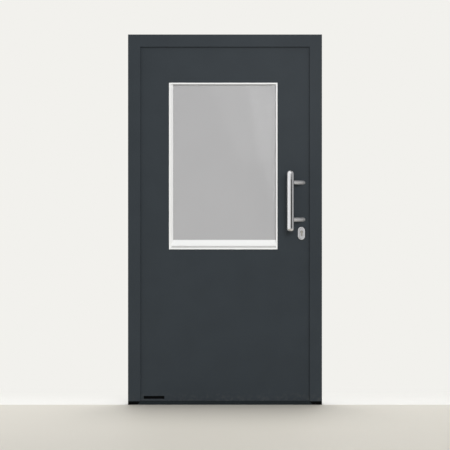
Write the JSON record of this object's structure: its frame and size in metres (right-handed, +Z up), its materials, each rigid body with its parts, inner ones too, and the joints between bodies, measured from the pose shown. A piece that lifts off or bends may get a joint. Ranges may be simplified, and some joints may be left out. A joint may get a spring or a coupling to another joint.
{
  "type": "entrance door with frame",
  "caption": "Entrance door in its frame: dark metal-faced leaf with a tall glazed window in a white trim, steel pull bar, oval escutcheon and low threshold.",
  "frame": {"origin": "on the floor under the threshold, midway along the frame's width and depth", "axes": "+Z up; +X to the right as seen from outside; +Y inwards through the wall"},
  "size_m": [1.1, 0.214, 2.1],
  "materials": {
    "frame_profile": "matte",
    "leaf_coat": "matte",
    "threshold_metal": "satin",
    "black_plastic": "matte",
    "insulating_plastic": "matte",
    "bare_aluminium": "satin",
    "gasket_rubber": "matte",
    "white_trim": "satin",
    "carrier_plastic": "satin",
    "satin_glass": "satin",
    "clear_glass": "gloss",
    "spacer_metal": "matte",
    "seal_rubber": "matte",
    "timber": "matte",
    "foam": "matte",
    "stainless": "satin",
    "zinc_steel": "satin",
    "hinge_steel": "satin",
    "plug_brass": "satin"
  },
  "bodies": {
    "frame": {"head_outer_shell": "frame_profile", "head_inner_shell": "frame_profile", "hinge_jamb_outer_shell": "frame_profile", "hinge_jamb_inner_shell": "frame_profile", "lock_jamb_outer_shell": "frame_profile", "lock_jamb_inner_shell": "frame_profile", "insulating_bars": "insulating_plastic", "corner_cleats": "bare_aluminium", "threshold_rail": "threshold_metal", "threshold_core": "insulating_plastic", "threshold_end_block_hinge_side": "black_plastic", "threshold_end_block_lock_side": "black_plastic", "frame_gasket": "gasket_rubber", "main_strike": "stainless", "hook_strikes": "stainless", "hinge_frame_part_lower": "hinge_steel", "hinge_frame_part_middle": "hinge_steel", "hinge_frame_part_upper": "hinge_steel", "hinge_pins": "stainless", "frame_screws": "zinc_steel"},
    "leaf": {"leaf_outer_skin": "leaf_coat", "leaf_inner_skin": "leaf_coat", "leaf_hinge_stile": "timber", "leaf_lock_stile": "timber", "leaf_rails": "timber", "leaf_core": "foam", "leaf_bottom_seal": "gasket_rubber", "leaf_screws": "zinc_steel", "hinge_leaf_part_lower": "hinge_steel", "hinge_leaf_part_middle": "hinge_steel", "hinge_leaf_part_upper": "hinge_steel", "glazing_carrier": "carrier_plastic", "glazing_outer_trim": "white_trim", "glazing_inner_trim": "white_trim", "glass_outer_pane": "satin_glass", "glass_middle_pane": "clear_glass", "glass_inner_pane": "clear_glass", "glass_spacer_bars": "spacer_metal", "glass_edge_seal": "seal_rubber", "glazing_gaskets": "seal_rubber", "glass_setting_blocks": "black_plastic", "lock_faceplate": "stainless", "lock_main_case": "zinc_steel", "hook_cases": "zinc_steel", "cylinder_body": "plug_brass", "outer_escutcheon": "stainless", "inner_escutcheon": "stainless", "pull_bar": "stainless", "pull_standoffs": "stainless", "lever_rose": "stainless"},
    "lever": {"lever_handle": "stainless", "lever_spindle": "zinc_steel"},
    "latch": {"latch_bolt": "zinc_steel"},
    "bolt": {"deadbolt": "zinc_steel"},
    "lower_hook": {"hook_lower": "zinc_steel"},
    "upper_hook": {"hook_upper": "zinc_steel"},
    "lower_rod": {"drive_rod_lower": "zinc_steel"},
    "upper_rod": {"drive_rod_upper": "zinc_steel"},
    "plug": {"cylinder_plug": "plug_brass"}
  },
  "joints": [
    {"name": "leaf_swing", "type": "hinge", "parent": "frame", "child": "leaf", "pos_m": [-0.4925, 0.052, 1.02], "axis": [0, 0, 1], "range_deg": [0, 105]},
    {"name": "lever_turn", "type": "hinge", "parent": "leaf", "child": "lever", "pos_m": [0.435, 0.07, 1.072], "axis": [0, -1, 0], "range_deg": [0, 40], "stiffness_Nm_per_rad": 1.5, "springref_deg": -28.65},
    {"name": "latch_slide", "type": "slide", "parent": "leaf", "child": "latch", "axis": [-1, 0, 0], "range_m": [0, 0.012]},
    {"name": "cylinder_turn", "type": "hinge", "parent": "leaf", "child": "plug", "pos_m": [0.435, 0.012, 0.98], "axis": [0, 1, 0], "range_deg": [0, 360]},
    {"name": "deadbolt_slide", "type": "slide", "parent": "leaf", "child": "bolt", "axis": [1, 0, 0], "range_m": [0, 0.02]},
    {"name": "lower_hook_swing", "type": "hinge", "parent": "leaf", "child": "lower_hook", "pos_m": [0.47, 0.012, 0.35], "axis": [0, -1, 0], "range_deg": [0, 90]},
    {"name": "upper_hook_swing", "type": "hinge", "parent": "leaf", "child": "upper_hook", "pos_m": [0.47, 0.012, 1.7], "axis": [0, -1, 0], "range_deg": [0, 90]},
    {"name": "lower_rod_slide", "type": "slide", "parent": "leaf", "child": "lower_rod", "axis": [0, 0, -1], "range_m": [0, 0.02]},
    {"name": "upper_rod_slide", "type": "slide", "parent": "leaf", "child": "upper_rod", "axis": [0, 0, 1], "range_m": [0, 0.02]}
  ],
  "couplings": [
    {"joint": "latch_slide", "follows": "lever_turn", "m_per_rad": 0.01718},
    {"joint": "cylinder_turn", "follows": "deadbolt_slide", "rad_per_m": 314},
    {"joint": "lower_rod_slide", "follows": "deadbolt_slide", "ratio": 1},
    {"joint": "upper_rod_slide", "follows": "deadbolt_slide", "ratio": 1},
    {"joint": "lower_hook_swing", "follows": "deadbolt_slide", "rad_per_m": 78.5},
    {"joint": "upper_hook_swing", "follows": "deadbolt_slide", "rad_per_m": 78.5}
  ]
}
